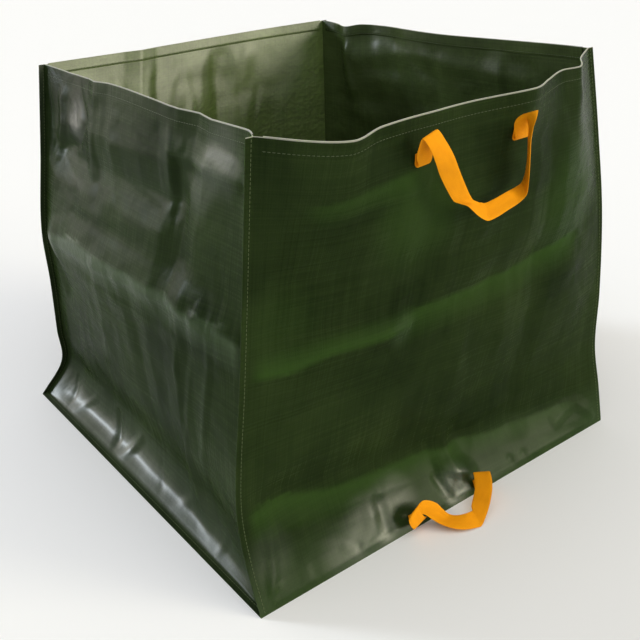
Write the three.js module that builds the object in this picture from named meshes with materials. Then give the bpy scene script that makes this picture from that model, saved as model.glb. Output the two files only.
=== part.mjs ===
// Open-topped garden waste bag of coated woven sheet, standing on its base, with three webbing handles.
// Millimetres. X runs along the front, Y from front to rear, Z up. The origin is on the floor, mid base.
import * as THREE from 'three';

// Main sizes of the bag.
const bagWidth = 700; // foot, over the seam fins
const bagDepth = 700; // foot, from the front fold to the rear fold
const bagHeight = 593; // floor to rim
const fabric = 0.6; // coated sheet
const layerGap = 0.3; // clearance between layers that are sewn together
const finWidth = 10; // seam allowance that stands out past the stitch line
const hemWidth = 18; // rim turned in once, double sheet
const hemStep = 3; // height over which the double sheet thins to one

// Webbing of the handles.
const webWidth = 25;
const webThickness = 1.6;
const tabLength = 15; // end of the webbing that lies flat on the wall
const tabLift = 0.7; // clearance between the tab and the wall
const foldRadius = 2.2; // tight turn at the sewn line
const carrySpacing = 162; // between the two ends of a carry handle
const carryShift = -4; // the sewn pair sits a little left of the middle
const carryDrop = 58; // rim down to the sewn line
const tipSpacing = 128; // between the two ends of the tipping handle
const tipShift = -12;
const tipHeight = 6; // floor up to the sewn line of the tipping handle

// Mesh fineness.
const wallColumns = 20;
const wallRows = 13;
const footRows = 4;
const footShare = 0.14; // the foot's share of the height
const columnCrowding = 0.45; // 0 even columns, 1 crowded to the corners
const webSteps = 3; // steps between two stations of a handle
const tabGrid = [0, 0.25, 0.5, 0.75, 1]; // places tried under a sewn end, across and up

// Where the sheet is held, as shares of its width and height.
const seamHold = 0.1; // folds fade out over this much next to a seam
const footHold = 0.08; // and over this much above the floor
const dropStart = 0.6; // the rim's dips reach down to here

// Corner seams from foot to rim: share of the height, how far the fin edge stands in along X and Y, and
// how far it sits below its share of the height, as a leaning seam does.
const corners = {
  frontLeft: {
    x: -1,
    y: -1,
    seam: [
      [0, 0, 0, 0], [0.1, 3, 30, 0], [0.21, 4, 46, 0], [0.32, 9, 49, 0],
      [0.48, 28, 60, 0], [0.68, 46, 68, 0], [1, 54, 53, 0],
    ],
  },
  rearLeft: {
    x: -1,
    y: 1,
    seam: [
      [0, 0, 0, 0], [0.1, 42, 10, 1], [0.21, 42, 15, 2.5], [0.38, 44, 19, 5],
      [0.55, 45, 18, 9], [0.77, 69, 8, 15], [1, 107, -38, 24],
    ],
  },
  frontRight: {
    x: 1,
    y: -1,
    seam: [
      [0, 0, 0, 0], [0.1, 0, 13, 0], [0.22, -2, 32, 0], [0.38, -9, 42, 0],
      [0.59, -26, 68, 0], [0.79, -30, 95, 0], [1, -28, 122, 0],
    ],
  },
  rearRight: {
    x: 1,
    y: 1,
    seam: [
      [0, 0, 0, 0], [0.1, 26, 17, 3], [0.21, 27, 16, 6], [0.38, 24, 9, 10],
      [0.55, 18, 0, 14], [0.77, -5, -30, 21], [1, -38, -74, 23],
    ],
  },
};

// Walls: the two corners each one hangs between, its outward side, and level sections as
// [share along, distance out]. The rim adds a line of [share along, drop].
// Folds: [share along, share up] at both ends, height of the ridge (a valley is negative) and its reach.
const walls = {
  front: {
    start: corners.frontLeft,
    end: corners.frontRight,
    out: new THREE.Vector3(0, -1, 0),
    sections: [
      { up: 0.12, line: [[0, 0], [0.25, -5], [0.5, -12], [0.75, -9], [1, 0]] },
      { up: 0.35, line: [[0, 0], [0.25, 10], [0.5, 16], [0.86, 14], [1, 0]] },
      { up: 0.59, line: [[0, 0], [0.25, 30], [0.5, 44], [0.81, 40], [1, 0]] },
      { up: 0.79, line: [[0, 0], [0.12, 32], [0.25, 54], [0.5, 68], [0.66, 72], [0.81, 60], [1, 0]] },
      {
        up: 1,
        line: [
          [0, 0], [0.06, 38], [0.135, 64], [0.2, 63], [0.32, 62], [0.44, 65],
          [0.58, 95], [0.66, 80], [0.75, 62], [0.81, 66], [0.89, 33], [1, 0],
        ],
      },
    ],
    drop: [[0, 0], [0.135, 11], [0.21, 5], [0.43, 5], [0.58, 0], [1, 0]],
    folds: [
      { from: [0, 0.47], to: [0.37, 0.53], ridge: 7, reach: 55 },
      { from: [0.37, 0.53], to: [1, 0.61], ridge: -6, reach: 55 },
      { from: [0, 0.7], to: [0.5, 0.66], ridge: -4, reach: 40 },
      { from: [0.36, 0.53], to: [0.35, 0.88], ridge: -4, reach: 40 },
      { from: [0.51, 0.2], to: [0.5, 0.7], ridge: 4, reach: 40 },
      { from: [0.72, 0.1], to: [0.7, 0.86], ridge: -5, reach: 40 },
      { from: [0.02, 0.23], to: [0.55, 0.14], ridge: -8, reach: 45 },
      { from: [0.55, 0.14], to: [0.98, 0.1], ridge: -6, reach: 40 },
      { from: [0.53, 0.02], to: [0.52, 0.13], ridge: 9, reach: 32 },
    ],
  },
  rear: {
    start: corners.rearLeft,
    end: corners.rearRight,
    out: new THREE.Vector3(0, 1, 0),
    sections: [
      { up: 0.12, line: [[0, 0], [0.5, -6], [1, 0]] },
      { up: 0.5, line: [[0, 0], [0.3, 18], [0.6, 28], [0.8, 24], [1, 0]] },
      { up: 0.78, line: [[0, 0], [0.25, 14], [0.5, 30], [0.75, 32], [1, 0]] },
      { up: 1, line: [[0, 0], [0.25, 14], [0.5, 23], [0.75, 18], [1, 0]] },
    ],
    drop: [[0, 0], [0.4, 5], [1, 0]],
    folds: [
      { from: [0, 0.55], to: [1, 0.52], ridge: 6, reach: 55 },
      { from: [0.3, 0.2], to: [0.31, 1], ridge: -5, reach: 40 },
      { from: [0.62, 0.12], to: [0.6, 0.9], ridge: 5, reach: 45 },
      { from: [0.05, 0.2], to: [0.95, 0.16], ridge: -7, reach: 45 },
    ],
  },
  left: {
    start: corners.frontLeft,
    end: corners.rearLeft,
    out: new THREE.Vector3(-1, 0, 0),
    sections: [
      { up: 0.032, line: [[0, 0], [0.1, -11], [0.5, -17], [0.85, -11], [1, 0]] },
      { up: 0.1, line: [[0, 0], [0.15, -15], [0.5, -18], [0.85, -6], [1, 0]] },
      { up: 0.3, line: [[0, 0], [0.25, -4], [0.6, 2], [1, 0]] },
      { up: 0.56, line: [[0, 0], [0.2, 8], [0.6, 14], [1, 0]] },
      { up: 1, line: [[0, 0], [0.05, -12], [0.25, -14], [0.5, -11], [0.7, -8], [0.85, -14], [1, 0]] },
    ],
    drop: [[0, 0], [0.24, 5], [0.6, 0], [0.85, 6], [1, 0]],
    folds: [
      { from: [0.03, 0.55], to: [0.2, 0.59], ridge: 6, reach: 50 },
      { from: [0.2, 0.59], to: [0.95, 0.54], ridge: 9, reach: 60 },
      { from: [0.26, 0.08], to: [0.25, 0.6], ridge: 6, reach: 45 },
      { from: [0.28, 0.6], to: [0.24, 1], ridge: -7, reach: 45 },
      { from: [0.3, 0.8], to: [0.92, 0.79], ridge: -6, reach: 45 },
      { from: [0.7, 0.82], to: [0.68, 1], ridge: 6, reach: 40 },
    ],
  },
  right: {
    start: corners.frontRight,
    end: corners.rearRight,
    out: new THREE.Vector3(1, 0, 0),
    sections: [
      { up: 0.12, line: [[0, 0], [0.3, -8], [0.7, -12], [1, 0]] },
      { up: 0.5, line: [[0, 0], [0.3, 4], [0.6, 12], [1, 0]] },
      { up: 1, line: [[0, 0], [0.1, 5], [0.3, 4], [0.5, -4], [0.76, 4], [0.86, -14], [0.92, 0], [1, 0]] },
    ],
    drop: [[0, 0], [0.4, 3], [0.8, 0], [0.86, 5], [1, 0]],
    folds: [
      { from: [0, 0.53], to: [1, 0.56], ridge: 7, reach: 55 },
      { from: [0.3, 0.12], to: [0.28, 0.9], ridge: -5, reach: 45 },
      { from: [0.66, 0.15], to: [0.68, 0.95], ridge: 5, reach: 45 },
      { from: [0.4, 0.2], to: [0.95, 0.14], ridge: -6, reach: 40 },
    ],
  },
};

// Free run of each handle, as the limp webbing came to rest: place along (-1 is the left sewn end and
// 1 the right), out from the wall behind it and up from the sewn line, then the direction across it.
const frontCarryRun = [
  { at: [-1.06, 12, 12], across: [1, 0, 0] },
  { at: [-1.138, 20, 28], across: [0.98, -0.15, 0] },
  { at: [-1.165, 27, 41], across: [0.96, -0.08, 0.25] },
  { at: [-1.055, 33, 28], across: [0.98, -0.03, 0.2] },
  { at: [-0.933, 35, 11], across: [0.96, 0.2, 0.15] },
  { at: [-0.755, 33, -10], across: [0.93, 0.33, 0.12] },
  { at: [-0.573, 31, -31], across: [0.95, 0.26, 0.1] },
  { at: [-0.414, 28, -48], across: [0.98, 0.12, 0.08] },
  { at: [-0.33, 27, -53], across: [0.99, -0.09, -0.05] },
  { at: [-0.206, 26, -58], across: [0.94, -0.32, -0.06] },
  { at: [-0.105, 26, -64], across: [0.87, -0.47, 0.13] },
  { at: [-0.045, 27, -67.6], across: [0.76, -0.56, 0.35] },
  { at: [0.04, 28, -72], across: [0.42, -0.67, 0.62] },
  { at: [0.099, 28, -73.5], across: [0.4, -0.66, 0.64] },
  { at: [0.272, 28, -72], across: [0.4, -0.62, 0.68] },
  { at: [0.543, 27, -68], across: [0.43, -0.63, 0.64] },
  { at: [0.804, 26, -64.5], across: [0.47, -0.7, 0.53] },
  { at: [0.943, 25, -59.5], across: [0.5, -0.8, 0.29] },
  { at: [0.977, 24, -52], across: [0.56, -0.8, 0] },
  { at: [0.975, 24, -38], across: [0.62, -0.73, -0.3] },
  { at: [0.932, 25, -15], across: [0.68, -0.68, -0.28] },
  { at: [0.878, 26, 5], across: [0.67, -0.69, -0.26] },
  { at: [0.845, 27, 21], across: [0.6, -0.74, -0.27] },
  { at: [0.83, 28, 32], across: [0.4, -0.87, -0.3] },
  { at: [0.845, 24.5, 39], across: [0.1, -0.92, -0.37] },
  { at: [0.86, 17, 32], across: [-0.4, -0.82, -0.3] },
  { at: [0.93, 10, 17], across: [-0.9, -0.4, -0.1] },
];
const rearCarryRun = [
  { at: [-1.025, 8, 10], across: [1, 0, 0] },
  { at: [-1.049, 15, 28], across: [1, 0, 0] },
  { at: [-1.037, 24, 36], across: [1, 0, 0.1] },
  { at: [-0.963, 28, 22], across: [0.9, 0.2, 0.3] },
  { at: [-0.815, 30, -8], across: [0.8, 0.4, 0.4] },
  { at: [-0.543, 36, -48], across: [0.6, 0.3, 0.7] },
  { at: [-0.198, 40, -76], across: [0.2, 0.1, 1] },
  { at: [0.173, 40, -78], across: [-0.2, 0.1, 1] },
  { at: [0.531, 36, -50], across: [-0.6, 0.3, 0.7] },
  { at: [0.815, 30, -8], across: [-0.8, 0.4, 0.4] },
  { at: [0.963, 28, 22], across: [-0.9, 0.2, 0.3] },
  { at: [1.037, 24, 36], across: [-1, 0, 0.1] },
  { at: [1.049, 15, 28], across: [-1, 0, 0] },
  { at: [1.025, 8, 10], across: [-1, 0, 0] },
];
const tippingRun = [
  { at: [-1.02, 13, 7], across: [0.97, -0.06, 0.2] },
  { at: [-1.14, 21, 12], across: [0.93, -0.12, 0.34] },
  { at: [-1.25, 27, 22], across: [0.92, -0.17, 0.36] },
  { at: [-1.26, 30, 31], across: [0.91, -0.15, 0.38] },
  { at: [-1.146, 30, 34.5], across: [0.91, -0.12, 0.4] },
  { at: [-0.972, 28, 31], across: [0.91, -0.14, 0.4] },
  { at: [-0.763, 27, 23], across: [0.95, -0.1, 0.28] },
  { at: [-0.66, 29, 14.5], across: [0.95, -0.22, 0.15] },
  { at: [-0.566, 34, 8.5], across: [0.93, -0.37, 0.05] },
  { at: [-0.408, 42, 5.2], across: [0.77, -0.61, 0.16] },
  { at: [-0.178, 48, 3.4], across: [0.58, -0.72, 0.37] },
  { at: [0.02, 50, 1.8], across: [0.36, -0.8, 0.47] },
  { at: [0.09, 51, 1.6], across: [0.14, -0.86, 0.5] },
  { at: [0.207, 49.5, 7], across: [-0.24, -0.88, 0.36] },
  { at: [0.398, 46, 16.5], across: [-0.5, -0.86, 0.05] },
  { at: [0.569, 42, 30], across: [-0.68, -0.72, -0.12] },
  { at: [0.74, 37.5, 37.5], across: [-0.74, -0.66, -0.08] },
  { at: [0.84, 32, 38], across: [-0.8, -0.6, -0.05] },
  { at: [0.9, 25, 31], across: [-0.88, -0.46, -0.05] },
  { at: [0.96, 14, 12], across: [-1, -0.1, 0] },
];

// Finishes.
const sheetGreen = new THREE.MeshStandardMaterial({ color: 0x2b3a1c, roughness: 0.42, metalness: 0 });
const webOrange = new THREE.MeshStandardMaterial({ color: 0xe78f11, roughness: 0.75, metalness: 0 });

const layerStep = fabric + layerGap;
const slopeStep = footShare / footRows;

// Smooth line through rows of [share, value, ...], read at one share.
function lineThrough(rows, share) {
  const last = rows.length - 1;
  let k = 0;
  while (k < last - 1 && share > rows[k + 1][0]) {
    k += 1;
  }
  const span = rows[k + 1][0] - rows[k][0];
  const t = (share - rows[k][0]) / span;
  const slope = (row, n) => {
    const before = rows[Math.max(row - 1, 0)];
    const after = rows[Math.min(row + 1, last)];
    return (span * (after[n] - before[n])) / (after[0] - before[0]);
  };
  return rows[k].slice(1).map((value, index) => {
    const n = index + 1;
    const rise = rows[k + 1][n] - value;
    const leave = slope(k, n);
    const arrive = slope(k + 1, n);
    return value + t * (leave + t * (3 * rise - 2 * leave - arrive + t * (leave + arrive - 2 * rise)));
  });
}

// Point of the stitch line at a corner, on the middle of the body sheet.
function seamPoint(corner, share) {
  const [standX, standY, sunk] = lineThrough(corner.seam, share);
  return new THREE.Vector3(
    corner.x * (bagWidth / 2 - finWidth - standX),
    corner.y * (bagDepth / 2 - fabric / 2 - standY),
    fabric / 2 + share * (bagHeight - fabric / 2) - sunk,
  );
}

// Height of one fold at a point of the wall: a straight ridge with flat flanks that runs out at its ends.
function foldHeight(fold, along, share) {
  const place = new THREE.Vector2(along * bagWidth, share * bagHeight);
  const from = new THREE.Vector2(fold.from[0] * bagWidth, fold.from[1] * bagHeight);
  const run = new THREE.Vector2(fold.to[0] * bagWidth, fold.to[1] * bagHeight).sub(from);
  const t = THREE.MathUtils.clamp(place.clone().sub(from).dot(run) / run.lengthSq(), 0, 1);
  const distance = place.distanceTo(from.addScaledVector(run, t));
  return fold.ridge * Math.max(0, 1 - distance / fold.reach);
}

// How far the wall stands out from the straight line between its two seams.
function standOut(wall, along, share) {
  const foot = [0, 0];
  const sections = wall.sections.map(({ up: level, line }) => [level, lineThrough(line, along)[0]]);
  const [swell] = lineThrough([foot, ...sections], share);
  const creases = wall.folds.reduce((sum, fold) => sum + foldHeight(fold, along, share), 0);
  const { smoothstep } = THREE.MathUtils;
  const freeOfSeams = smoothstep(along, 0, seamHold) * smoothstep(1 - along, 0, seamHold);
  return swell + creases * freeOfSeams * smoothstep(share, 0, footHold);
}

// The same point on a panel that is sewn in, one layer inside the body sheet.
function sewnPoint(corner, share) {
  const point = seamPoint(corner, share);
  const below = seamPoint(corner, Math.max(share - slopeStep, 0));
  const above = seamPoint(corner, Math.min(share + slopeStep, 1));
  const lean = Math.atan2(corner.y * (below.y - above.y), above.z - below.z);
  if (share > 0) {
    point.y -= corner.y * layerStep * Math.cos(lean);
    point.z -= layerStep * Math.sin(lean);
  } else {
    point.y -= (corner.y * layerStep) / Math.tan(Math.PI / 4 - lean / 2);
    point.z += layerStep;
  }
  return point;
}

// Point on the middle of a wall's sheet, hung between two edges.
function wallPoint(wall, along, share, edge = seamPoint) {
  const point = edge(wall.start, share).lerp(edge(wall.end, share), along);
  point.addScaledVector(wall.out, standOut(wall, along, share));
  point.z -= lineThrough(wall.drop, along)[0] * THREE.MathUtils.smoothstep(share, dropStart, 1);
  return point;
}

// Shares along a wall or the base, closer together towards the corners.
const columns = Array.from({ length: wallColumns + 1 }, (_, k) => {
  const even = k / wallColumns;
  const crowded = 0.5 - 0.5 * Math.cos(Math.PI * even);
  return THREE.MathUtils.lerp(even, crowded, columnCrowding);
});

// Shares up a wall: fine at the foot, even above, and a band of double sheet at the rim.
const hemShare = 1 - hemWidth / bagHeight;
const thinShare = hemShare - hemStep / bagHeight;
const levels = [
  ...Array.from({ length: footRows }, (_, k) => (footShare * k) / footRows),
  ...Array.from({ length: wallRows + 1 }, (_, k) => {
    return THREE.MathUtils.lerp(footShare, thinShare, k / wallRows);
  }),
  hemShare,
  1,
];

// Sheet of points and triangles, to be given its thickness.
class Sheet {
  constructor() {
    this.points = [];
    this.doubled = [];
    this.faces = [];
  }

  add(point, doubled = false) {
    this.points.push(point);
    this.doubled.push(doubled);
    return this.points.length - 1;
  }

  strip(rowA, rowB) {
    for (let k = 0; k < rowA.length - 1; k += 1) {
      this.faces.push([rowA[k], rowA[k + 1], rowB[k + 1]], [rowA[k], rowB[k + 1], rowB[k]]);
    }
  }

  // Closed solid: the sheet's two faces, and walls along its free edges. Double sheet is thicker inside.
  solid(material, name) {
    const count = this.points.length;
    const normals = this.points.map(() => new THREE.Vector3());
    const edges = new Map();
    this.faces.forEach((face) => {
      const [a, b, c] = face.map((k) => this.points[k]);
      const normal = b.clone().sub(a).cross(c.clone().sub(a));
      face.forEach((k, n) => {
        normals[k].add(normal);
        edges.set(`${k},${face[(n + 1) % 3]}`, [k, face[(n + 1) % 3]]);
      });
    });
    normals.forEach((normal) => normal.normalize());
    const outer = this.points.map((point, k) => point.clone().addScaledVector(normals[k], fabric / 2));
    const inner = this.points.map((point, k) => {
      const depth = fabric / 2 + (this.doubled[k] ? fabric : 0);
      return point.clone().addScaledVector(normals[k], -depth);
    });
    const triangles = this.faces.flatMap(([a, b, c]) => [a, b, c, count + a, count + c, count + b]);
    edges.forEach(([a, b]) => {
      if (!edges.has(`${b},${a}`)) {
        triangles.push(b, a, count + a, b, count + a, count + b);
      }
    });
    return meshFrom([...outer, ...inner], triangles, material, name);
  }
}

function meshFrom(points, triangles, material, name) {
  const geometry = new THREE.BufferGeometry().setFromPoints(points);
  geometry.setIndex(triangles);
  geometry.computeVertexNormals();
  const mesh = new THREE.Mesh(geometry, material);
  mesh.name = name;
  return mesh;
}

// Body sheet: one strip down the front, across the base and up the rear, with a fin along both edges.
function bodySheet() {
  const sheet = new Sheet();
  const across = (pointAt, hem) => {
    const row = columns.map((along) => pointAt(along));
    const leftFin = row[0].clone().setX(row[0].x - finWidth);
    const rightFin = row.at(-1).clone().setX(row.at(-1).x + finWidth);
    const middle = row.map((point, k) => sheet.add(point, hem && k > 0 && k < row.length - 1));
    return [sheet.add(leftFin), ...middle, sheet.add(rightFin)];
  };
  const onWall = (wall) => (share) => across((along) => wallPoint(wall, along, share), share >= hemShare);
  const onBase = (depth) => across((along) => {
    const front = wallPoint(walls.front, along, 0);
    return front.lerp(wallPoint(walls.rear, along, 0), depth);
  });
  const rows = [
    ...[...levels].reverse().map(onWall(walls.front)),
    ...columns.slice(1, -1).map(onBase),
    ...levels.map(onWall(walls.rear)),
  ];
  rows.slice(1).forEach((row, k) => sheet.strip(row, rows[k]));
  return sheet.solid(sheetGreen, 'body_sheet');
}

// Side panel: a wall with a fin turned out along its front, base and rear edges.
function sidePanel(wall, name) {
  const sheet = new Sheet();
  const rows = levels.map((share) => columns.map((along, k) => {
    const hem = share >= hemShare && k > 0 && k < wallColumns;
    return sheet.add(wallPoint(wall, along, share, sewnPoint), hem);
  }));
  const seam = [
    ...rows.map((row) => row[0]).reverse(),
    ...rows[0].slice(1, -1),
    ...rows.map((row) => row.at(-1)),
  ];
  const edge = seam.map((k) => sheet.add(sheet.points[k].clone().addScaledVector(wall.out, finWidth)));
  const facesOut = wall.out.x > 0;
  rows.slice(1).forEach((row, k) => (facesOut ? sheet.strip(rows[k], row) : sheet.strip(row, rows[k])));
  if (facesOut) {
    sheet.strip(edge, seam);
  } else {
    sheet.strip(seam, edge);
  }
  return sheet.solid(sheetGreen, name);
}

// Point on the flat facets of a wall.
function facetPoint(wall, along, share) {
  const place = (list, value) => {
    const k = THREE.MathUtils.clamp(list.findIndex((next) => next > value) - 1, 0, list.length - 2);
    return { low: list[k], high: list[k + 1], t: (value - list[k]) / (list[k + 1] - list[k]) };
  };
  const u = place(columns, along);
  const v = place(levels, share);
  const low = wallPoint(wall, u.low, v.low).lerp(wallPoint(wall, u.high, v.low), u.t);
  const high = wallPoint(wall, u.low, v.high).lerp(wallPoint(wall, u.high, v.high), u.t);
  return low.lerp(high, v.t);
}

// The same, at a place along X.
function facetAt(wall, x, share) {
  const start = seamPoint(wall.start, share).x;
  const end = seamPoint(wall.end, share).x;
  return facetPoint(wall, (x - start) / (end - start), share);
}

// Sewn end of a handle: flat on the wall above the sewn line, resting on the proudest point under it,
// then turned out tightly at the line.
function sewnEnd(wall, x, share) {
  const halfWeb = (-wall.out.y * webWidth) / 2;
  const tabShare = tabLength / bagHeight;
  const line = facetAt(wall, x, share);
  const rise = facetAt(wall, x, share + tabShare).sub(line).normalize();
  const across = facetAt(wall, x + halfWeb, share).sub(facetAt(wall, x - halfWeb, share)).normalize();
  const out = across.clone().cross(rise).normalize();
  const under = tabGrid.flatMap((a) => tabGrid.map((b) => {
    const place = facetAt(wall, x + halfWeb * (2 * a - 1), share + b * tabShare);
    return place.sub(line).dot(out);
  }));
  const rest = Math.max(...under) + fabric / 2 + tabLift + webThickness / 2;
  const station = (height, depth) => ({
    at: line.clone().addScaledVector(rise, height).addScaledVector(out, rest + depth),
    across,
  });
  const flat = [tabLength, (tabLength + foldRadius) / 2, foldRadius].map((height) => station(height, 0));
  const turned = [station(0, foldRadius), station(foldRadius, 2 * foldRadius)];
  return { line, stations: [...flat, ...turned] };
}

// Webbing from one sewn end along its free run to the other. On the rear wall it is turned half round.
function handle(wall, spacing, shift, share, run, name) {
  const turn = -wall.out.y;
  const left = sewnEnd(wall, turn * (shift - spacing / 2), share);
  const right = sewnEnd(wall, turn * (shift + spacing / 2), share);
  const middle = left.line.clone().lerp(right.line, 0.5);
  const free = run.map(({ at: [along, out, rise], across }) => {
    const at = new THREE.Vector3(middle.x + (turn * along * spacing) / 2, 0, middle.z + rise);
    at.y = facetAt(wall, at.x, share + rise / bagHeight).y + wall.out.y * out;
    return { at, across: new THREE.Vector3(turn * across[0], wall.out.y * across[1], across[2]) };
  });
  const back = right.stations.reverse().map(({ at, across }) => {
    return { at, across: across.clone().negate() };
  });
  return webbing([...left.stations, ...free, ...back], name);
}

// Webbing swept along stations: a flat section that turns with them.
function webbing(stations, name) {
  const path = new THREE.CatmullRomCurve3(stations.map(({ at }) => at), false, 'centripetal');
  const sides = new THREE.CatmullRomCurve3(stations.map(({ across }) => across), false, 'centripetal');
  const steps = (stations.length - 1) * webSteps;
  const points = [];
  const triangles = [];
  for (let k = 0; k <= steps; k += 1) {
    const at = path.getPoint(k / steps);
    const along = path.getTangent(k / steps);
    const across = sides.getPoint(k / steps);
    across.addScaledVector(along, -across.dot(along)).setLength(webWidth / 2);
    const thick = along.clone().cross(across).setLength(webThickness / 2);
    [[1, 1], [-1, 1], [-1, -1], [1, -1]].forEach(([side, face]) => {
      points.push(at.clone().addScaledVector(across, side).addScaledVector(thick, face));
    });
  }
  for (let k = 0; k < steps; k += 1) {
    for (let n = 0; n < 4; n += 1) {
      const a = 4 * k + n;
      const b = 4 * k + ((n + 1) % 4);
      triangles.push(a, b + 4, a + 4, a, b, b + 4);
    }
  }
  const end = 4 * steps;
  triangles.push(0, 2, 1, 0, 3, 2, end, end + 1, end + 2, end, end + 2, end + 3);
  return meshFrom(points, triangles, webOrange, name);
}

const carryShare = 1 - carryDrop / bagHeight;
const tipShare = tipHeight / bagHeight;
const bag = new THREE.Group();
bag.add(bodySheet());
bag.add(sidePanel(walls.left, 'left_side_panel'));
bag.add(sidePanel(walls.right, 'right_side_panel'));
bag.add(handle(walls.front, carrySpacing, carryShift, carryShare, frontCarryRun, 'front_carry_handle'));
bag.add(handle(walls.rear, carrySpacing, carryShift, carryShare, rearCarryRun, 'rear_carry_handle'));
bag.add(handle(walls.front, tipSpacing, tipShift, tipShare, tippingRun, 'tipping_handle'));

export default bag;
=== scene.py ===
import math
import bpy
import numpy as np
from mathutils import Matrix, Vector


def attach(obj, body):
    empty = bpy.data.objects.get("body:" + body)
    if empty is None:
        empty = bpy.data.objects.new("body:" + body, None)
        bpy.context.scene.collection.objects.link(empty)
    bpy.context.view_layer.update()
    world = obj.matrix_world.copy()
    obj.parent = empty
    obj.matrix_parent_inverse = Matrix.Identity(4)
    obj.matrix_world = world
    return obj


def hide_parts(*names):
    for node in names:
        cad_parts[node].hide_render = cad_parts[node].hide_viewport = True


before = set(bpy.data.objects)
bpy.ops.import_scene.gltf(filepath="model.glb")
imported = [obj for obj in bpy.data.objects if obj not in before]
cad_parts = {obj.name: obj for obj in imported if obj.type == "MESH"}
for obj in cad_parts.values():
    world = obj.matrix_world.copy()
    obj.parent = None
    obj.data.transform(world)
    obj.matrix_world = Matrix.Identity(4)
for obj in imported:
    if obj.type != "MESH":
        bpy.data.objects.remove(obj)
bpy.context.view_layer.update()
mm = 0.001  # shapes are worked out in millimetres, meshes are in metres
print("frame loaded")

bag = {
    "width": 700, "depth": 700, "height": 593,  # foot over the fins, front to rear fold, floor to rim
    "fabric": 0.6, "layerGap": 0.3,
    "finWidth": 10, "finStitch": 3,  # seam allowance, and how far out on it the thread runs
    "hemWidth": 18, "hemStitch": 15.5, "hemGap": 1.3, "hemSpring": .25,  # turned-in rim, its raw edge springing back
    "seamHold": 0.1, "footHold": 0.08,  # shares along and up in which the seams hold back the broad folds
    "creaseHold": .03, "hemHold": (.93, .97, .75),  # the same for creases, and how much the hem flattens them
    "dropStart": 0.6,
}
corners = {  # share of the height, how far the fin edge stands in along X and Y, how far it sits low
    "frontLeft": (-1, -1, [[0, 0, 0, 0], [.1, 3, 30, 0], [.21, 4, 46, 0], [.32, 9, 49, 0], [.48, 28, 60, 0],
                           [.68, 46, 68, 0], [1, 54, 53, 0]]),
    "rearLeft": (-1, 1, [[0, 0, 0, 0], [.1, 42, 10, 1], [.21, 42, 15, 2.5], [.38, 44, 19, 5], [.55, 45, 18, 9],
                         [.77, 69, 8, 15], [1, 107, -38, 24]]),
    "frontRight": (1, -1, [[0, 0, 0, 0], [.1, 0, 13, 0], [.22, -2, 32, 0], [.38, -9, 42, 0], [.59, -26, 68, 0],
                           [.79, -30, 95, 0], [1, -28, 122, 0]]),
    "rearRight": (1, 1, [[0, 0, 0, 0], [.1, 26, 17, 3], [.21, 27, 16, 6], [.38, 24, 9, 10], [.55, 18, 0, 14],
                         [.77, -5, -30, 21], [1, -38, -74, 23]]),
}
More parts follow.
